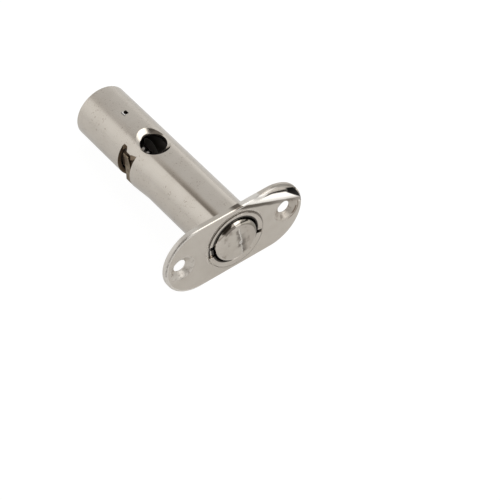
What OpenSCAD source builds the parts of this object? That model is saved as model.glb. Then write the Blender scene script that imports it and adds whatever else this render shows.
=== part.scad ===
// Mortice rack bolt: a round bolt slides in a tube casing that is sunk into the edge of a door.
// A splined key goes in at the keyhole, meshes with the rack along the bolt's slot and winds it out.
// Origin: on the bolt's axis, in the front face of the faceplate. +X runs out of the door along the
// bolt, +Y along the faceplate and +Z up through the keyhole.

/* [Faceplate] */
// Length of the faceplate from end to end
plate_len = 43.7; // [38:0.1:50]
// Width of the faceplate, which is also the width across its round ends
plate_w = 21; // [20:0.1:24]
// Thickness of the faceplate
plate_t = 1.5; // [1.2:0.1:2.5]
// Radius of the front edge
plate_edge = 0.5; // [0.2:0.05:0.6]
// Distance between the two screw holes
screw_pitch = 33.4; // [30:0.1:36]
// Diameter of the screw holes
screw_d = 3.7; // [3:0.1:4.2]
// Diameter of the countersinks at the front face, over their rounded rims
sink_d = 7.8; // [7.2:0.1:8]

/* [Casing tube] */
// Outside diameter of the tube
tube_d = 16; // [15.6:0.1:16.4]
// Wall thickness of the tube
tube_wall = 1.1; // [1:0.05:1.2]
// Depth of the tube behind the front face
tube_len = 60.5; // [60:0.5:66]
// Diameter of the rim that is turned over on to the faceplate
rim_d = 17.6; // [17:0.1:18]
// Height of that rim above the faceplate
rim_t = 0.45; // [0.3:0.05:0.6]

/* [Keyhole] */
// Depth of the keyhole's centre behind the front face
key_depth = 35.4; // [35:0.1:36]
// Diameter of the hole that the key passes through
key_d = 7.4; // [7:0.1:7.6]
// Diameter of the pressed dimple round the hole
dimple_d = 10.8; // [10:0.1:11.4]

/* [Bolt] */
// Diameter of the bolt
bolt_d = 12.8; // [12.4:0.1:13]
// How far the bolt's nose stands out of the faceplate when it is drawn in
nose_out = 1.45; // [1:0.05:1.6]
// Radius round the edge of the nose
nose_edge = 1.2; // [0.6:0.1:1.6]
// Travel of the bolt to its thrown position
throw_out = 14.6; // [12:0.1:15]
// Travel of the bolt back to its fully drawn position
throw_in = 1.4; // [0.5:0.1:1.5]
// Pitch of the rack teeth
rack_pitch = 2; // [2:0.5:2.5]
// Height of the rack teeth
tooth_h = 1; // [0.8:0.1:1.2]

/* [Spring clip] */
// Thickness of the spring strip
clip_t = 0.45; // [0.3:0.05:0.5]
// Width of the spring strip
clip_w = 2.2; // [2:0.1:2.4]

/* [Hidden] */
$fn = 96;
eps = 0.01;

tube_r = tube_d / 2;
bore_r = tube_r - tube_wall;
bolt_r = bolt_d / 2;
key_r = key_d / 2;
key_x = -key_depth;
plate_r = plate_w / 2;
end_y = plate_len / 2 - plate_r;
sink_depth = plate_t - 0.25;
sink_round = 1.2;

// The corner of the faceplate beside one screw is buffed away to a long soft roll
roll_r = 16;
roll_from = 10.2;
roll_turn = 24.6;

// Rim: the tube's end is slit on both sides and its two halves are turned over.
// A slit is its width, its turn from the key's side, its depth and how far out it reaches.
rim_mouth = 0.45;
rim_edge = 0.2;
rim_off = [0.12, -0.22];
wide_slit = [3.9, -88.5, 0.03, 10];
slit_notch = [1.4, -81, 1.2, 7.9];
narrow_slit = [1.1, 102.5, 1.2, 10];

// Rear end of the tube
rear_round = 0.4;
rear_lip = 0.3;
rear_lip_r = bore_r - 0.3;
plug_t = 1.4;

// Dimple: a ball that touches the tube's top at the dimple's rim and goes down to the hole's edge
dimple_r = dimple_d / 2;
hole_edge_z = tube_r - 1.25;
ball_z = (dimple_r * dimple_r + tube_r * tube_r - key_r * key_r - hole_edge_z * hole_edge_z)
       / (2 * (tube_r - hole_edge_z));
ball_r = sqrt(key_r * key_r + pow(ball_z - hole_edge_z, 2));
collar_r = key_r + 1.1;
collar_in = bolt_r + 0.1;

// Window in the tube's side; its upper edge, from rear to front, leaves a tab that the clip tucks under
window_x = [-41.2, -35];
window_y = -5.6;
window_top = [[-41.2, -5.9], [-40.9, -5.45], [-39.8, -5.45], [-39.4, -5.7], [-38.9, -6.3],
              [-37.4, -6.3], [-36.9, -6.1], [-35, -5.7]];

// Lip: the tube's wall in front of the window is sprung outwards
lip_len = 7.3;
lip_rise = 0.6;
lip_turn = -112;

// Struck mark behind the keyhole: a short tongue of the wall pressed down beside a pierced slot
mark_x = [-49.3, -47.9];
mark_y = [-0.5, 0.1, 0.95];
mark_down = [0.1, 0.5];
mark_fold = 0.24;

// Spring clip, in the plane across the tube
clip_x = [-37.5 - clip_w, -37.5];
flat_y = -6.1;
clip_gap = 0.05;
bend_r = clip_t / 2 + 0.01;
contact_y = flat_y - clip_gap - clip_t / 2;
clip_top = [-6.75, 3.9];
clip_knee = [contact_y, -5.7];
wrap_r = tube_r + 0.025 + clip_t / 2;
wrap_from = atan2(clip_knee.x, clip_knee.y) - acos(wrap_r / norm(clip_knee));
wrap_to = -255;
hook_in = tube_r - 0.8;

// Slot and rack in the bolt
tooth_tip_y = -2.3;
slot_y = tooth_tip_y - tooth_h;
slot_floor = -3.2;
slot_front = key_x + throw_in + key_r - 0.25;
slot_back_x = key_x - throw_out - key_r + 0.25;
tooth_base = 0.68 * rack_pitch;
tooth_tip = 0.3 * rack_pitch;
flat_front = clip_x[1] + throw_in + 0.15;
flat_back = clip_x[0] - throw_out - 0.15;
bolt_back = flat_back - 1.25;
bolt_chamfer = 0.4;

// Turns a profile drawn as [radius, position along the bolt] about the bolt's axis
module turned() {
    rotate([0, 90, 0])
        rotate_extrude()
            children();
}

// Round bar along the bolt's axis from x0 to x1
module bar_x(r, x0, x1) {
    translate([x0, 0, 0])
        rotate([0, 90, 0])
            cylinder(r = r, h = x1 - x0);
}

// Extrudes an outline drawn as [y, z] along X from x0 to x1
module across(x0, x1) {
    translate([x0, 0, 0])
        rotate([90, 0, 90])
            linear_extrude(x1 - x0)
                children();
}

// Half section of the faceplate through its width, with a rounded front edge
module plate_profile() {
    translate([0, -plate_t])
        square([plate_r - plate_edge, plate_t]);
    translate([0, -plate_t])
        square([plate_r, plate_t - plate_edge]);
    translate([plate_r - plate_edge, -plate_edge])
        circle(plate_edge, $fn = 24);
}

// Plate with round ends: two turned ends and a straight length between them
module plate_blank() {
    for (side = [-1, 1])
        translate([0, side * end_y, 0])
            turned()
                plate_profile();
    translate([0, end_y, 0])
        rotate([90, 0, 0])
            linear_extrude(2 * end_y)
                for (half = [0, 1])
                    mirror([0, half])
                        rotate(90)
                            mirror([0, 1])
                                plate_profile();
}

// All that lies outside a large round bar laid along the corner
module corner_roll() {
    rotate([-roll_turn, 0, 0])
        difference() {
            translate([-roll_r, -30, roll_from])
                cube([roll_r + 1, 60, roll_r]);
            translate([-roll_r, -40, roll_from])
                rotate([-90, 0, 0])
                    cylinder(r = roll_r, h = 80, $fn = 180);
        }
}

// Half section of a countersink: a cone whose wall runs into the front face in a round
module sink_profile() {
    low = [screw_d / 2, -sink_depth];
    centre = [sink_d / 2, -sink_round];
    run = centre - low;
    wall = atan2(run.y, run.x) + asin(sink_round / norm(run));
    meet = low + sqrt(run * run - sink_round * sink_round) * [cos(wall), sin(wall)];
    difference() {
        polygon([[0, low.y], low, meet, [centre.x, 0], [centre.x, 1], [0, 1]]);
        translate(centre)
            circle(sink_round, $fn = 48);
    }
}

module screw_hole() {
    bar_x(screw_d / 2, -plate_t - 1, 1);
    turned()
        sink_profile();
}

module faceplate() {
    color([0.72, 0.69, 0.65])
        difference() {
            plate_blank();
            bar_x(tube_r + 0.05, -plate_t - 1, 1);
            for (side = [-1, 1])
                translate([0, side * screw_pitch / 2, 0])
                    screw_hole();
            corner_roll();
        }
}

// Straight tube with its rear edge rounded and rolled in over the plug
module tube_shell() {
    turned()
        union() {
            translate([bore_r, -tube_len + rear_lip])
                square([tube_wall - rear_round, 1]);
            translate([bore_r, -tube_len + rear_round])
                square([tube_wall, tube_len - rear_round]);
            translate([rear_lip_r, -tube_len])
                square([tube_r - rear_round - rear_lip_r, rear_lip]);
            translate([tube_r - rear_round, -tube_len + rear_round])
                circle(rear_round, $fn = 24);
        }
}

// Rim turned over on to the faceplate, a little off centre as it was struck
module rim() {
    edge_r = rim_d / 2 - rim_edge;
    difference() {
        translate([0, rim_off.x, rim_off.y])
            turned() {
                square([edge_r, rim_t]);
                square([rim_d / 2, rim_t - rim_edge]);
                translate([edge_r, rim_t - rim_edge])
                    circle(rim_edge, $fn = 24);
            }
        turned()
            difference() {
                translate([bore_r - 1, 0])
                    square([1 + rim_mouth, rim_t + 1]);
                translate([bore_r + rim_mouth, 0])
                    circle(rim_mouth, $fn = 24);
            }
        bar_x(bore_r - 0.5, -1, 1);
    }
}

// Bar for the raised lip, tilted so that its rear end stands out of the tube's side
module lip_bar(r, extra) {
    rotate([-lip_turn, 0, 0])
        translate([window_x[1] + lip_len - 0.7, 0, 0])
            rotate([0, asin(lip_rise / lip_len), 0])
                bar_x(r, -lip_len - extra, 0);
}

// Guide collar pressed inwards round the keyhole
module key_collar() {
    intersection() {
        translate([key_x, 0, 0])
            cylinder(r = collar_r, h = tube_r);
        difference() {
            bar_x(bore_r + 0.3, key_x - 8, key_x + 8);
            bar_x(collar_in, key_x - 9, key_x + 9);
        }
    }
}

module keyhole() {
    translate([key_x, 0, ball_z])
        sphere(ball_r, $fn = 48);
    translate([key_x, 0, 0])
        cylinder(r = key_r, h = tube_r + 1);
}

// Sawn window with a tab left standing in its upper edge
module window() {
    side = -tube_r - 2;
    translate([window_x[0], side, -tube_r])
        cube([window_x[1] - window_x[0], window_y - side, tube_r + eps]);
    linear_extrude(tube_r)
        polygon(concat([[window_x[1], side], [window_x[0], side]], window_top));
}

module struck_mark() {
    translate([mark_x[0], mark_y[1], bore_r - 1])
        cube([mark_x[1] - mark_x[0], mark_y[2] - mark_y[1], 3]);
    across(mark_x[0], mark_x[1])
        polygon([[mark_y[0], tube_r - mark_down[0]], [mark_y[1] + eps, tube_r - mark_down[1]],
                 [mark_y[1] + eps, tube_r + 1], [mark_y[0], tube_r + 1]]);
    translate([mark_x[0] + 0.15, mark_y[0] - mark_fold / 2, tube_r - 0.3])
        cube([mark_x[1] - mark_x[0] + 0.3, mark_fold, 1]);
}

module rim_slit(slit) {
    rotate([-slit[1], 0, 0])
        translate([-slit[2], -slit[0] / 2, bore_r - 1])
            cube([slit[2] + 1, slit[0], slit[3] - bore_r + 1]);
}

// Short slot that the clip's far end hooks into
module hook_slot() {
    rotate([-wrap_to, 0, 0])
        translate([clip_x[0] - 0.1, -clip_t / 2 - 0.1, bore_r - 1])
            cube([clip_w + 0.2, clip_t + 0.2, 3]);
}

module casing_tube() {
    color([0.7, 0.67, 0.63])
        difference() {
            union() {
                difference() {
                    union() {
                        tube_shell();
                        lip_bar(tube_r - 0.03, 0);
                    }
                    lip_bar(bore_r - 0.03, 1);
                    bar_x(bore_r, -tube_len + rear_lip, 1);
                }
                rim();
                key_collar();
            }
            keyhole();
            window();
            struck_mark();
            hook_slot();
            rim_slit(wide_slit);
            rim_slit(slit_notch);
            rim_slit(narrow_slit);
        }
}

// Outline of the key slot with the rack standing along one side
module slot_outline() {
    difference() {
        translate([slot_back_x, slot_y])
            square([slot_front - slot_back_x, -2 * slot_y]);
        first = key_x + rack_pitch / 2;
        ahead = floor((slot_front - first - tooth_base / 2) / rack_pitch);
        behind = floor((first - slot_back_x - tooth_base / 2) / rack_pitch);
        for (k = [-behind : ahead])
            translate([first + k * rack_pitch, slot_y])
                polygon([[-tooth_base / 2, -1], [-tooth_base / 2, 0], [-tooth_tip / 2, tooth_h],
                         [tooth_tip / 2, tooth_h], [tooth_base / 2, 0], [tooth_base / 2, -1]]);
    }
}

module bolt() {
    color([0.68, 0.66, 0.63])
        difference() {
            turned()
                union() {
                    translate([0, bolt_back + bolt_chamfer])
                        square([bolt_r, nose_out - nose_edge - bolt_back - bolt_chamfer]);
                    polygon([[0, bolt_back], [bolt_r - bolt_chamfer, bolt_back],
                             [bolt_r, bolt_back + bolt_chamfer], [0, bolt_back + bolt_chamfer]]);
                    translate([0, nose_out - nose_edge - eps])
                        square([bolt_r - nose_edge, nose_edge + eps]);
                    translate([bolt_r - nose_edge, nose_out - nose_edge])
                        circle(nose_edge, $fn = 32);
                }
            translate([0, 0, slot_floor])
                linear_extrude(bolt_d)
                    slot_outline();
            translate([flat_back, flat_y - 2, -bolt_r])
                cube([flat_front - flat_back, 2, bolt_d]);
        }
}

// Length of bent strip from one point to another, with a rounded bend at each
module strip(a, b) {
    run = b - a;
    translate(a)
        rotate(atan2(run.y, run.x))
            translate([0, -clip_t / 2])
                square([norm(run), clip_t]);
    translate(a)
        circle(bend_r, $fn = 24);
    translate(b)
        circle(bend_r, $fn = 24);
}

// Point on a circle about the tube's axis, turned from the key's side
function around(r, turn) = [r * sin(turn), r * cos(turn)];

module clip_wrap() {
    intersection() {
        difference() {
            circle(wrap_r + clip_t / 2);
            circle(wrap_r - clip_t / 2);
        }
        polygon(concat([[0, 0]], [for (k = [0 : 6]) around(14, wrap_from + k * (wrap_to - wrap_from) / 6)]));
    }
}

module spring_clip() {
    color([0.5, 0.45, 0.38])
        across(clip_x[0], clip_x[1]) {
            strip(clip_top, [contact_y, 1.3]);
            strip([contact_y, 1.3], [contact_y, -0.6]);
            strip([contact_y, -0.6], clip_knee);
            strip(clip_knee, around(wrap_r, wrap_from - 0.5));
            clip_wrap();
            strip(around(wrap_r, wrap_to), around(hook_in, wrap_to));
        }
}

module rear_plug() {
    back = -tube_len + rear_lip;
    color([0.6, 0.58, 0.55])
        turned()
            polygon([[0, back + 0.4], [4.6, back + 0.4], [5, back], [bore_r, back],
                     [bore_r, back + plug_t], [0, back + plug_t]]);
}

faceplate();
casing_tube();
bolt();
spring_clip();
rear_plug();
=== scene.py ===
"""Looks of the mortice rack bolt: studio, camera and the finish of every piece.

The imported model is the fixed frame, and nothing here moves or reshapes its pieces. The floor and
the camera are placed in metres in that same frame: +X out along the bolt, +Y along the faceplate,
+Z up through the keyhole. The finishes work in millimetres on each piece's own coordinates, which
are the frame's at rest.
"""

import math

import bpy
from mathutils import Matrix, Vector

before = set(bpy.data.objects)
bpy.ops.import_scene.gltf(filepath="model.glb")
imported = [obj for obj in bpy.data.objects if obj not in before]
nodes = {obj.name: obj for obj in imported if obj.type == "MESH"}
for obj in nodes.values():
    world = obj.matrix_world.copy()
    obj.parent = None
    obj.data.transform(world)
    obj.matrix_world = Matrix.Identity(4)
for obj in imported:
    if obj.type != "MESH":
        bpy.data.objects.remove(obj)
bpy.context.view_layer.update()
MM = 0.001

# Outputs of the texture coordinate node, and the colour sockets of the mix node
GENERATED, OBJECT = 0, 3
MIX_A, MIX_B, MIX_OUT = 6, 7, 2

# Places on the bolt, in millimetres, as the model has them. A round end of the plate has its
# centre at PLATE_END_Y, and the rim is not quite in the middle.
TUBE_R, BORE_R, REAR_LIP_R = 8.0, 6.9, 6.6
KEYHOLE_X, DIMPLE_R = -35.4, 5.4
WINDOW_X = (-41.2, -35.0)
MARK_X = (-49.3, -47.9)
PLATE_END_Y, PLATE_R, PLATE_BACK_X = 11.35, 10.5, -1.5
SCREW_Y = 16.7
RIM_MID, RIM_R = (0.12, -0.22), 8.8
NOSE_X = 1.45

# Places that are in the finishes alone, in millimetres: the middle of the painted shade in the gap
# round the nose, the line where the buffed corner begins, the seam and the knob on the bolt's
# face, and the pale patch of painted highlight on the side of the bolt's slot
GAP_MID = (-0.207, 0.388)
ROLL_WAY = (0.416, 0.909)
ROLL_FROM = 10.2
SEAM_Y, SEAM_LEAN = 0.87, 0.085
KNOB = (0.85, -0.6)
PALE_PATCH_MID = (-41.9, -2.6)

# The camera, solved from the photo, and the side of the bolt that it looks from, as (y, z)
CAMERA_RIGHT = (0.604747, 0.796162, -0.020206)
CAMERA_UP = (-0.580151, 0.457768, 0.673702)
CAMERA_BACK = (0.545625, -0.395696, 0.738727)
CAMERA_AT = (0.3143812, -0.2233085, 0.4181495)
CAMERA_SIDE = (-0.47, 0.88)
FOCAL_PX = 2213.33
PHOTO_PX = 500
SENSOR_MM = 36.0

# The floor, which touches the plate's lower edge and the tube's rear end
FLOOR_UP = (0.0411, 0.0, 0.99916)
FLOOR_Z = -10.49 * MM

# How bright the room behind the plate is, by the angle round the bolt in degrees: 0 is up, 90 is
# towards +Y
WALL = (
    (-180, 0.6), (-150, 0.74), (-90, 0.8), (-64, 0.95), (-40, 1.0), (-24, 0.93), (-14, 0.87),
    (-5, 0.74), (3, 0.66), (40, 0.69), (62, 0.72), (74, 0.88), (92, 0.98), (110, 0.88),
    (150, 0.74), (180, 0.6),
)

# Finishes, as linear colours
NICKEL = (0.62, 0.573, 0.51)
NICKEL_SHADE = (0.56, 0.51, 0.445)
NICKEL_DULL = (0.46, 0.41, 0.355)
# Dark nickel: painted shade on the nose's shoulder
NICKEL_PAINTED_SHADE = (0.22, 0.2, 0.165)
# Pale sheen: painted highlights and reflections
PAINTED_SHEEN = (0.86, 0.83, 0.78)
# Dark brown: painted shade in creases, gaps and beside ridges, and also dirt in stains and seats
PAINTED_SHADE_AND_DIRT = (0.13, 0.11, 0.09)
RAW_EDGE = (0.3, 0.215, 0.155)
# Near black: painted shade in the bore, in gaps and grooves and under the rim
PAINTED_DEEP_SHADE = (0.05, 0.044, 0.038)
# Black: a painted dark reflection on the rolled corner
PAINTED_DARK_REFLECTION = (0.012, 0.011, 0.01)
# Pale and matt: a painted highlight on the side of the bolt's slot
PAINTED_PALE_PATCH = (0.85, 0.84, 0.82)
# Pale and matt: a painted highlight on the tongue of the struck mark
PAINTED_PALE_HIGHLIGHT = (0.95, 0.94, 0.92)
BOLT_DARK = (0.4, 0.38, 0.36)
DARK_BROWN = (0.2, 0.15, 0.11)
BRONZED = (0.32, 0.255, 0.172)
BRONZED_DARK = (0.17, 0.13, 0.09)


class Wire:
    """A value in a node tree. Arithmetic on it adds the nodes that work it out."""

    def __init__(self, bench, socket):
        self.bench = bench
        self.socket = socket

    def _math(self, operation, *values):
        return self.bench.node("ShaderNodeMath", {"operation": operation}, *values)

    def __add__(self, other):
        return self._math("ADD", self, other)

    def __radd__(self, other):
        return self._math("ADD", other, self)

    def __sub__(self, other):
        return self._math("SUBTRACT", self, other)

    def __rsub__(self, other):
        return self._math("SUBTRACT", other, self)

    def __mul__(self, other):
        return self._math("MULTIPLY", self, other)

    def __rmul__(self, other):
        return self._math("MULTIPLY", other, self)

    def __truediv__(self, other):
        return self._math("DIVIDE", self, other)

    def __pow__(self, other):
        return self._math("POWER", self, other)

    def __neg__(self):
        return self._math("MULTIPLY", self, -1.0)

    def size(self):
        return self._math("ABSOLUTE", self)

    def either(self, other):
        return self._math("MAXIMUM", self, other)

    def clear_of(self, low, high):
        """0 at low, 1 at high, smooth in between; low may be the larger."""
        return self.bench.node(
            "ShaderNodeMapRange",
            {"interpolation_type": "SMOOTHSTEP"},
            self, low, high, 0.0, 1.0,
        )

    def between(self, low, high, soft):
        """1 between low and high, falling to 0 over the width soft."""
        return self.clear_of(low - soft, low) * self.clear_of(high + soft, high)


class Bench:
    """A node tree under construction."""

    def __init__(self, tree):
        self.tree = tree
        tree.nodes.clear()

    def node(self, kind, settings, *values, out=0):
        """Adds a node, makes its settings, joins values or wires to its inputs in order."""
        made = self.tree.nodes.new(kind)
        for key, value in settings.items():
            if key == "stops":
                ramp = made.color_ramp
                while len(ramp.elements) > 1:
                    ramp.elements.remove(ramp.elements[0])
                ramp.elements[0].position = value[0][0]
                ramp.elements[0].color = tone(value[0][1])
                for place, shade in value[1:]:
                    ramp.elements.new(place).color = tone(shade)
            else:
                setattr(made, key, value)
        for index, value in enumerate(values):
            self.join(value, made.inputs[index])
        return Wire(self, made.outputs[out]) if len(made.outputs) else None

    def join(self, value, socket):
        """Links a wire to a socket, or sets the socket to a plain value."""
        if isinstance(value, Wire):
            self.tree.links.new(value.socket, socket)
        elif value is not None:
            socket.default_value = value

    def blend(self, share, low, high):
        """Colour that goes from low to high as share goes from 0 to 1."""
        made = self.tree.nodes.new("ShaderNodeMix")
        made.data_type = "RGBA"
        self.join(share, made.inputs["Factor"])
        self.join(tone(low), made.inputs[MIX_A])
        self.join(tone(high), made.inputs[MIX_B])
        return Wire(self, made.outputs[MIX_OUT])

    def split(self, vector):
        made = self.tree.nodes.new("ShaderNodeSeparateXYZ")
        self.join(vector, made.inputs[0])
        return [Wire(self, socket) for socket in made.outputs]

    def gather(self, x, y, z):
        return self.node("ShaderNodeCombineXYZ", {}, x, y, z)

    def grey(self, value):
        return self.gather(value, value, value)

    def distance(self, *parts):
        """Length of the vector with these parts."""
        total = parts[0] * parts[0]
        for part in parts[1:]:
            total = total + part * part
        return self.node("ShaderNodeMath", {"operation": "POWER"}, total, 0.5)

    def noise(self, vector, scale, detail=2.0, roughness=0.5, seed=0.0):
        return self.node(
            "ShaderNodeTexNoise",
            {"noise_dimensions": "4D"},
            vector, seed, scale, detail, roughness,
        )


def tone(value):
    """A linear colour with its alpha, from a grey, three numbers or a wire."""
    if isinstance(value, Wire):
        return value
    if isinstance(value, (int, float)):
        return (value, value, value, 1.0)
    return (*value, 1.0)


def placed(right, up, back, place):
    """The matrix with these three directions as its axes and its origin at place."""
    rows = [(right[i], up[i], back[i], place[i]) for i in range(3)]
    return Matrix((*rows, (0, 0, 0, 1)))


# ---- studio


def studio():
    """The room that the plating mirrors; the camera itself sees plain white.

    Behind the plate the walls are graded by WALL, with a dark gap and a slightly dim strip. Ahead
    of the plate they are even, with a dark doorway, a dim patch overhead, two low dark strips and
    a bright key light. What is dark is a little brown.
    """
    world = bpy.data.worlds.new("studio")
    bpy.context.scene.world = world
    world.use_nodes = True
    bench = Bench(world.node_tree)
    x, y, z = bench.split(bench.node("ShaderNodeTexCoord", {}, out=GENERATED))
    turn = bench.node("ShaderNodeMath", {"operation": "ARCTAN2"}, y, z) * (180 / math.pi)
    wall = bench.node(
        "ShaderNodeValToRGB",
        {"stops": [(angle / 360 + 0.5, brightness) for angle, brightness in WALL]},
        turn / 360 + 0.5,
    )
    gap_end = 0.04 + 0.96 * x.clear_of(-0.612, -0.57)
    gap = turn.clear_of(-28, -21) * turn.clear_of(6, -18) * gap_end
    hush = turn.between(70, 92, 8) * x.clear_of(-0.596, -0.612)
    back = bench.node("ShaderNodeRGBToBW", {}, wall) * (1.0 - 0.78 * gap) * (1.0 - 0.12 * hush)
    ahead = x.clear_of(-0.45, -0.3)
    doorway = turn.between(-54, 3, 5) * x.between(0.3, 0.93, 0.06) * z.clear_of(0.1, 0.2)
    overhead = turn.between(-38, -3, 8) * x.clear_of(0.6, 0.45) * z.clear_of(0.1, 0.4)
    low_front = z.between(-0.02, 0.2, 0.06) * y.clear_of(-0.1, -0.3)
    low_gap = z.between(0.02, 0.2, 0.04) * y.clear_of(0.5, 0.62)
    dark = (doorway * 0.95).either(overhead * 0.8).either(low_front * 0.35).either(low_gap) * ahead
    front = 0.74 - 0.69 * dark
    key = turn.between(9, 55, 4) * z.clear_of(0.0, 0.2)
    key = key * (x + turn * 0.01).clear_of(0.45, 0.55) * x.clear_of(0.93, 0.88)
    light = back * (1.0 - ahead) + front * ahead + key * 1.6
    brown = dark.either(gap * (1.0 - ahead) * 0.9)
    warm = bench.gather(light, light * (1.0 - 0.1 * brown), light * (1.0 - 0.2 * brown))
    glow = bench.node("ShaderNodeBackground", {}, warm, 1.0)
    plain = bench.node("ShaderNodeBackground", {}, (1.0, 1.0, 1.0, 1.0), 1.0)
    is_camera_ray = bench.node("ShaderNodeLightPath", {})
    both = bench.node("ShaderNodeMixShader", {}, is_camera_ray, glow, plain)
    bench.node("ShaderNodeOutputWorld", {}, both)


def floor():
    """Pale floor under the faceplate's lower edge and the tube's rear end.

    It is a matt sheet that glows a little to the camera and in the plating, more so in the pool of
    light beyond the plate.
    """
    slope = Vector(FLOOR_UP).normalized()
    across = Vector((0, 1, 0))
    side = slope.cross(across).normalized()
    bpy.ops.object.select_all(action="DESELECT")
    bpy.ops.mesh.primitive_plane_add(size=4.0)
    sheet = bpy.context.object
    sheet.name = "floor"
    sheet.data.transform(placed(side, across, slope, (0, 0, FLOOR_Z)))
    paper = bpy.data.materials.new("pale paper")
    paper.use_nodes = True
    bench = Bench(paper.node_tree)
    path = bench.tree.nodes.new("ShaderNodeLightPath")
    camera = Wire(bench, path.outputs["Is Camera Ray"])
    glossy = Wire(bench, path.outputs["Is Glossy Ray"])
    place = bench.node("ShaderNodeTexCoord", {}, out=OBJECT)
    x, y, _ = bench.split(place)
    grain = bench.noise(place, 900.0, 3.0) * 0.02
    pool = x.clear_of(0.014, 0.034) * y.clear_of(0.016, 0.055)
    shine = camera * 1.08 + glossy * (0.8 + 1.2 * pool)
    matt = bench.node("ShaderNodeBsdfDiffuse", {}, bench.grey(0.97 - grain), 0.0)
    lit = bench.node("ShaderNodeEmission", {}, bench.grey(shine), 1.0)
    share = camera * 0.88 + glossy * 0.55
    both = bench.node("ShaderNodeMixShader", {}, share, matt, lit)
    bench.node("ShaderNodeOutputMaterial", {}, both)
    sheet.data.materials.append(paper)


def camera():
    """The photo's camera."""
    lens = bpy.data.cameras.new("camera")
    eye = bpy.data.objects.new("camera", lens)
    bpy.context.scene.collection.objects.link(eye)
    eye.matrix_world = placed(CAMERA_RIGHT, CAMERA_UP, CAMERA_BACK, CAMERA_AT)
    lens.sensor_width = SENSOR_MM
    lens.lens = SENSOR_MM * FOCAL_PX / PHOTO_PX
    lens.clip_start = 0.01
    lens.clip_end = 20.0
    bpy.context.scene.camera = eye


# ---- finishes


def metal(name):
    """A new metal finish: its bench, its shader node and the place on the piece in millimetres."""
    finish = bpy.data.materials.new(name)
    finish.use_nodes = True
    bench = Bench(finish.node_tree)
    shader = bench.tree.nodes.new("ShaderNodeBsdfPrincipled")
    shader.inputs["Metallic"].default_value = 1.0
    bench.node("ShaderNodeOutputMaterial", {}, Wire(bench, shader.outputs[0]))
    spot = bench.node("ShaderNodeTexCoord", {}, out=OBJECT)
    spot = bench.node("ShaderNodeVectorMath", {"operation": "SCALE"}, spot)
    spot.socket.node.inputs["Scale"].default_value = 1 / MM
    return finish, bench, shader, spot


def finish_off(bench, shader, colour, roughness, heights):
    """Joins colour and roughness, and stacks the bumps given as (height, depth in millimetres)."""
    bench.join(colour, shader.inputs["Base Color"])
    bench.join(roughness, shader.inputs["Roughness"])
    normal = None
    for height, depth in heights:
        bump = bench.tree.nodes.new("ShaderNodeBump")
        bump.inputs["Strength"].default_value = 1.0
        bump.inputs["Distance"].default_value = depth * MM
        bench.join(height, bump.inputs["Height"])
        if normal is not None:
            bench.join(normal, bump.inputs["Normal"])
        normal = Wire(bench, bump.outputs[0])
    bench.join(normal, shader.inputs["Normal"])


def stretched(bench, spot, x, y, z):
    """The place on the piece with each direction scaled, for grain that runs one way."""
    return bench.node("ShaderNodeVectorMath", {"operation": "MULTIPLY"}, spot, (x, y, z))


def near_side(y, z):
    """1 on the side of the bolt's axis that the camera looks from, 0 on the far side."""
    return (z * CAMERA_SIDE[1] + y * CAMERA_SIDE[0]).clear_of(-2.0, 1.0)


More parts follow.
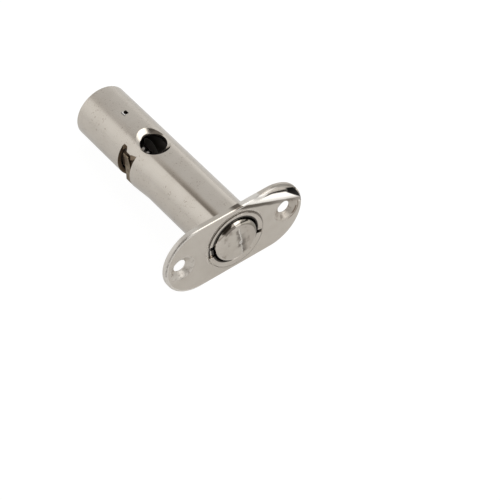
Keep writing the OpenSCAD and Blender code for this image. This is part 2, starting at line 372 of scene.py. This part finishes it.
def tube_finish():
    """The casing: drawn nickel, less bright towards the rear, painted dark inside as shade, with
    bare cut edges.
    """
    finish, bench, shader, spot = metal("buffed nickel on drawn tube")
    x, y, z = bench.split(spot)
    radius = bench.distance(y, z)
    upper = z.clear_of(0.0, 1.0)
    cloud = bench.noise(spot, 0.22, 2.0)
    fine = bench.noise(spot, 3.0, 3.0, seed=2.0)
    draw = bench.noise(stretched(bench, spot, 0.06, 1.6, 1.6), 1.0, 3.0, 0.6, seed=5.0)
    waves = bench.noise(spot, 0.12, 1.0, seed=7.0)
    rear = x.clear_of(-30.0, -46.0)
    # The bore's inside is painted near black: painted shade
    inside = radius.clear_of(BORE_R + 0.1, BORE_R + 0.02)
    in_window = x.between(WINDOW_X[0] - 0.03, WINDOW_X[1] + 0.03, 0.02) * y.clear_of(-5.0, -5.4)
    cut_edge = in_window * radius.clear_of(TUBE_R - 0.02, TUBE_R - 0.1)

    # The rim: painted shade in the gap round the nose, along the rim's far side and in its slits,
    # and a wall on its near side made partly matt so that it reads paler, which is painted light
    in_rim = x.clear_of(-0.3, 0.0)
    gap_shade = bench.distance(y - GAP_MID[0], z - GAP_MID[1]).clear_of(7.5, 7.3) * in_rim
    near = near_side(y, z)
    top_right = y.clear_of(2.0, 5.0) * z.clear_of(-1.0, 2.0)
    lip = bench.distance(y - RIM_MID[0], z - RIM_MID[1]).clear_of(RIM_R - 0.42, RIM_R - 0.3)
    lip = lip * in_rim
    rim_line = lip * ((1.0 - near) * 0.45).either(top_right * 0.8)
    pale_wall = lip * near * (1.0 - top_right)
    slit_wall = radius.between(7.5, RIM_R - 0.2, 0.1) * x.between(0.04, 0.36, 0.03)
    rim_painted_shade = rim_line.either(slit_wall * 0.95)

    # The struck mark, whose tongue is painted pale as a painted highlight and whose fold is
    # painted dark as painted shade, the dimple and scattered specks
    mark = x.between(*MARK_X, 0.08) * upper
    tongue = mark * y.between(-0.36, 0.1, 0.04)
    fold = mark * y.between(-0.68, -0.42, 0.05)
    dimple = bench.distance(x - KEYHOLE_X, y).clear_of(DIMPLE_R + 0.2, DIMPLE_R - 0.1) * upper
    specks = bench.noise(spot, 1.9, 2.0, seed=8.0).clear_of(0.6, 0.7) * cloud.clear_of(0.4, 0.55)

    plate = bench.blend(cloud.clear_of(0.3, 0.8) * 0.6, NICKEL, NICKEL_SHADE)
    plate = bench.blend(cut_edge, plate, bench.blend(fine.clear_of(0.3, 0.7), RAW_EDGE, BRONZED))
    plate = bench.blend(inside * (1.0 - cut_edge), plate, PAINTED_DEEP_SHADE)
    plate = bench.blend(rim_painted_shade, plate, PAINTED_SHADE_AND_DIRT)
    plate = bench.blend(specks * 0.35, plate, DARK_BROWN)
    plate = bench.blend(gap_shade, plate, PAINTED_DEEP_SHADE)
    plate = bench.blend(tongue, plate, PAINTED_PALE_HIGHLIGHT)
    plate = bench.blend(fold, plate, PAINTED_DEEP_SHADE)
    rough = 0.07 + 0.13 * rear + 0.03 * cloud + 0.03 * fine + 0.03 * dimple
    rough = rough + cut_edge * 0.3 + inside * 0.3 + lip * 0.35 + tongue * 0.45
    bench.join(1.0 - (0.75 * pale_wall).either(tongue), shader.inputs["Metallic"])
    finish_off(bench, shader, plate, rough, [(waves, 0.02), (draw, 0.003), (fine, 0.0015)])
    return finish


def plate_finish():
    """The faceplate: buffed nickel, with one corner rolled over, marks of use, and painted
    highlights, shade and dark reflections on its front.
    """
    finish, bench, shader, spot = metal("buffed nickel on pressed plate")
    x, y, z = bench.split(spot)
    front = x.clear_of(PLATE_BACK_X + 0.01, PLATE_BACK_X + 0.03)
    cloud = bench.noise(spot, 0.3, 3.0, seed=11.0)
    fine = bench.noise(spot, 2.6, 3.0, seed=12.0)
    grain = bench.noise(stretched(bench, spot, 1.0, 0.12, 2.2), 1.0, 4.0, 0.6, seed=13.0)
    waves = bench.noise(spot, 0.14, 1.0, seed=14.0)

    # The buffed corner: how far a place is past the line where the roll begins. On it lie a dark
    # line of painted shade where the roll begins, a white band of painted reflection, a black arc
    # of painted reflection near the tip and a thin painted highlight near the edge
    wander = (bench.noise(spot, 0.35, 2.0, seed=15.0) - 0.5) * 0.5
    straight = y * ROLL_WAY[0] + z * ROLL_WAY[1] - ROLL_FROM
    past = straight + wander
    rolled = straight.either(0.0)
    from_end = bench.distance((y - PLATE_END_Y).either(0.0), z)
    tip = (from_end - (PLATE_R - 2.1)).either(0.0) * z.clear_of(0.0, 1.0) * y.clear_of(3.0, 9.0)
    roll = -0.12 * rolled - 0.05 * rolled ** 2 - 0.000067 * rolled ** 6 - 0.125 * tip * tip
    roll = roll * front
    bent = straight + 0.47 * (y - 16.3).either(0.0) + wander * 0.4
    black_arc_reflection = bent.clear_of(2.6, 2.9) * past.clear_of(3.8, 3.5) * y.clear_of(16.4, 17.6)
    black_arc_reflection = black_arc_reflection * from_end.clear_of(PLATE_R - 0.2, PLATE_R - 0.5)
    crease_shade = past.clear_of(-1.0, -0.35) * past.clear_of(0.5, 0.25)
    crease_shade = crease_shade * (0.95 - 0.5 * y.clear_of(9.0, 18.0))
    white_band_reflection = past.clear_of(0.2, 0.6) * bent.clear_of(3.0, 2.7) * y.clear_of(-4.0, 4.0) * 0.8
    buffed = (straight + 0.56 * (12.5 - y).either(0.0)).clear_of(3.3, 3.7) * y.clear_of(0.0, 5.0)
    glint = from_end.between(PLATE_R - 0.66, PLATE_R - 0.5, 0.06) * z.clear_of(3.0, 5.0)
    glint = glint * y.between(2.0, 13.0, 2.0)

    # The countersinks, with the marks on the edge of the right one
    from_screw = [bench.distance(y - side * SCREW_Y, z) for side in (-1, 1)]
    dishes = [away.clear_of(4.1, 3.6) for away in from_screw]
    sink = dishes[0].either(dishes[1])
    right_of_it = y - SCREW_Y
    nick = from_screw[1].between(3.25, 3.5, 0.1) * z.between(-2.6, -0.8, 0.4)
    nick = nick * right_of_it.clear_of(1.0, 2.0)
    brow = from_screw[1].between(3.75, 3.98, 0.12) * z.clear_of(2.0, 0.5)
    brow = brow * right_of_it.clear_of(0.0, 2.0)

    # Painted shade and shine where the plate meets the rim, and along its left end
    from_rim = bench.distance(y - RIM_MID[0], z - RIM_MID[1])
    crevice = from_rim.between(RIM_R - 0.2, RIM_R + 0.1, 0.12)
    crevice = crevice * (0.1 + 0.65 * y.clear_of(-1.0, 4.0))
    skirt = from_rim.between(RIM_R - 0.05, RIM_R + 0.5, 0.15) * near_side(y, z)
    under_rim = from_rim.clear_of(RIM_R - 0.16, RIM_R - 0.24)
    from_left = bench.distance((-y - PLATE_END_Y).either(0.0), z)
    left_edge = from_left.clear_of(PLATE_R - 0.85, PLATE_R - 0.6) * y.clear_of(-9.0, -13.0)
    # A thin line of painted shade just inside the left end's edge
    left_edge_shade = from_left.between(PLATE_R - 0.3, PLATE_R - 0.08, 0.06) * y.clear_of(-12.0, -15.0)
    left_edge_shade = left_edge_shade * z.between(0.5, 9.5, 1.0) * (0.1 + 0.45 * fine.clear_of(0.35, 0.6))
    blots = bench.noise(spot, 0.9, 3.0, 0.6, seed=16.6).clear_of(0.52, 0.66)

    plain = bench.blend(cloud.clear_of(0.3, 0.8) * 0.6, NICKEL, NICKEL_SHADE)
    colour = bench.blend(white_band_reflection, plain, PAINTED_SHEEN)
    # The left countersink is painted paler and the right one duller: painted light and shade
    colour = bench.blend(sink * 0.3 * y.clear_of(1.0, -1.0), colour, PAINTED_SHEEN)
    colour = bench.blend(sink * 0.25 * y.clear_of(-1.0, 1.0), colour, NICKEL_DULL)
    stained = (sink * blots * 0.5).either(brow * 0.7).either(nick * 0.9)
    colour = bench.blend(stained, colour, DARK_BROWN)
    colour = bench.blend(crease_shade, colour, PAINTED_SHADE_AND_DIRT)
    colour = bench.blend(black_arc_reflection, colour, PAINTED_DARK_REFLECTION)
    colour = bench.blend(glint, colour, PAINTED_SHEEN)
    colour = bench.blend(left_edge * 0.5, colour, PAINTED_SHEEN)
    colour = bench.blend(crevice.either(left_edge_shade), colour, PAINTED_SHADE_AND_DIRT)
    colour = bench.blend(under_rim, colour, PAINTED_DEEP_SHADE)
    colour = bench.blend(front, plain, colour)
    worn = 0.33 * sink + 0.1 * crease_shade + 0.28 * buffed.either(left_edge) + 0.25 * black_arc_reflection
    rough = 0.07 + 0.04 * cloud + 0.04 * fine + worn * front
    bench.join(1.0 - (0.2 * left_edge).either(0.6 * skirt) * front, shader.inputs["Metallic"])
    finish_off(
        bench, shader, colour, rough,
        [(roll, 1.0), (waves, 0.03), (grain, 0.002), (fine, 0.0015)],
    )
    return finish


def bolt_finish():
    """The bolt: turned nickel with a marked face, darker where the casing hides it."""
    finish, bench, shader, spot = metal("nickel on turned bar")
    x, y, z = bench.split(spot)
    cloud = bench.noise(spot, 0.5, 3.0, seed=21.0)
    fine = bench.noise(spot, 3.5, 3.0, seed=22.0)
    waves = bench.noise(spot, 0.25, 2.0, seed=23.0)
    deep = x.clear_of(-20.0, -28.0)

    # The nose's face: a pressed seam runs down it, with a small knob in the middle. The seam and
    # the knob carry a painted highlight, with painted shade either side of the seam and round the
    # knob, and the face is painted darker on the +Y side of the seam
    face = x.clear_of(NOSE_X - 0.25, NOSE_X - 0.05)
    waver = (bench.noise(spot, 0.9, 2.0, seed=24.0) - 0.5) * 1.1
    off_seam = y - SEAM_Y + z * SEAM_LEAN + waver
    along_seam = z.clear_of(5.0, 4.2) * z.clear_of(-5.4, -4.8) * face
    seam = off_seam.size().clear_of(0.3, 0.06) * along_seam
    from_knob = bench.distance(y - KNOB[0], (z - KNOB[1]) * 0.8)
    knob = from_knob.clear_of(0.62, 0.4) * from_knob.clear_of(0.1, 0.4) * face
    knob_ring = from_knob.between(0.75, 0.95, 0.15) * face * (0.3 + 0.7 * fine.clear_of(0.4, 0.6))
    left_shade = off_seam.clear_of(-1.5, -0.4) * off_seam.clear_of(-0.1, -0.3)
    left_shade = left_shade * z.between(-1.6, 3.8, 0.8)
    right_shade = off_seam.clear_of(2.0, 0.5) * off_seam.clear_of(0.1, 0.35)
    right_shade = right_shade * z.between(-4.0, 1.6, 1.0)
    shade = left_shade.either(right_shade).either(knob_ring) * face
    shade = shade * (0.4 + 0.6 * cloud.clear_of(0.35, 0.6))
    stains = bench.noise(spot, 0.42, 3.0, 0.6, seed=27.0).clear_of(0.5, 0.68) * face
    darker_side = off_seam.clear_of(-1.0, 1.5) * face

    # The rounded shoulder round the face, which leans back. Its upper +Y side is painted dark as
    # shade, which cuts the highlight short, and a patch of painted dark reflection lies on its
    # upper -Y part
    lean = -0.36 * (x + 0.2).either(0.0)
    shoulder = x.between(0.15, NOSE_X - 0.09, 0.05)
    shaded_shoulder = x.clear_of(-3.0, -0.5) * x.clear_of(NOSE_X - 0.02, NOSE_X - 0.05)
    shaded_shoulder = shaded_shoulder * (y - 0.3 * z).clear_of(-1.0, -0.3) * z.clear_of(-1.0, 1.0)
    dark_patch_reflection = shoulder * (y + 0.09 * z).clear_of(0.1, -0.1) * (y + 0.8 * z).clear_of(-0.8, 0.4)

    # What the window and the keyhole show: the flat is painted brown and rougher, and the slot's
    # side has a pale patch of painted highlight
    window_brown = x.between(WINDOW_X[0] - 0.8, WINDOW_X[1] + 0.5, 0.3) * y.clear_of(-5.0, -5.6)
    from_pale_patch = bench.distance(x - PALE_PATCH_MID[0], z - PALE_PATCH_MID[1])
    slot_side = y.between(3.2, 3.4, 0.05) * deep
    pale_patch = from_pale_patch.clear_of(3.6, 3.5) * slot_side
    streak = from_pale_patch.clear_of(3.1, 3.25)

    colour = bench.blend(cloud.clear_of(0.3, 0.8), NICKEL, NICKEL_SHADE)
    colour = bench.blend(darker_side * 0.5, colour, NICKEL_DULL)
    colour = bench.blend(stains * 0.7, colour, NICKEL_DULL)
    colour = bench.blend(stains ** 3 * 0.3, colour, PAINTED_SHADE_AND_DIRT)
    colour = bench.blend(shaded_shoulder * (0.6 + 0.4 * cloud), colour, NICKEL_PAINTED_SHADE)
    colour = bench.blend(dark_patch_reflection * 0.85, colour, PAINTED_SHADE_AND_DIRT)
    colour = bench.blend(shade * 0.9, colour, PAINTED_SHADE_AND_DIRT)
    colour = bench.blend((seam * 0.45).either(knob * 0.8), colour, PAINTED_SHEEN)
    colour = bench.blend(deep, colour, BOLT_DARK)
    colour = bench.blend(window_brown, colour, DARK_BROWN)
    colour = bench.blend(pale_patch * (0.6 + 0.4 * streak), colour, PAINTED_PALE_PATCH)
    bench.join(1.0 - pale_patch, shader.inputs["Metallic"])
    rough = 0.12 + 0.08 * cloud + 0.05 * fine + 0.3 * deep + 0.25 * window_brown - 0.06 * shoulder
    finish_off(
        bench, shader, colour, rough,
        [(lean, 1.0), (seam.either(knob), 0.12), (waves, 0.06), (fine, 0.003)],
    )
    return finish


def plug_finish():
    """The rear plug: pressed nickel with faint rings and a dark seat along its edge."""
    finish, bench, shader, spot = metal("nickel on pressed disc")
    _, y, z = bench.split(spot)
    radius = bench.distance(y, z)
    cloud = bench.noise(spot, 0.3, 3.0, seed=41.0)
    fine = bench.noise(spot, 3.0, 3.0, seed=42.0)
    rings = bench.noise(bench.gather(radius, 0.0, 0.0), 3.0, 3.0, seed=43.0)
    seat = radius.clear_of(REAR_LIP_R - 0.3, REAR_LIP_R - 0.05)
    colour = bench.blend(cloud.clear_of(0.3, 0.8), NICKEL, NICKEL_SHADE)
    colour = bench.blend(seat * 0.7, colour, PAINTED_SHADE_AND_DIRT)
    finish_off(bench, shader, colour, 0.16 + 0.1 * cloud, [(rings, 0.01), (fine, 0.002)])
    return finish


def clip_finish():
    """The spring clip: steel strip with a bronze-brown heat tint."""
    finish, bench, shader, spot = metal("bronzed spring steel")
    cloud = bench.noise(spot, 0.8, 3.0, seed=31.0)
    fine = bench.noise(spot, 5.0, 3.0, seed=32.0)
    colour = bench.blend(cloud.clear_of(0.3, 0.7), BRONZED, BRONZED_DARK)
    rough = 0.3 + 0.12 * cloud + 0.06 * fine
    finish_off(bench, shader, colour, rough, [(fine, 0.004)])
    return finish


def dress(node, finish):
    """Gives a piece its finish."""
    mesh = nodes[node].data
    mesh.materials.clear()
    mesh.materials.append(finish)


studio()
floor()
camera()
dress("casing_tube", tube_finish())
dress("rear_plug", plug_finish())
dress("faceplate", plate_finish())
dress("bolt", bolt_finish())
dress("spring_clip", clip_finish())

bpy.context.scene.view_settings.view_transform = "Standard"
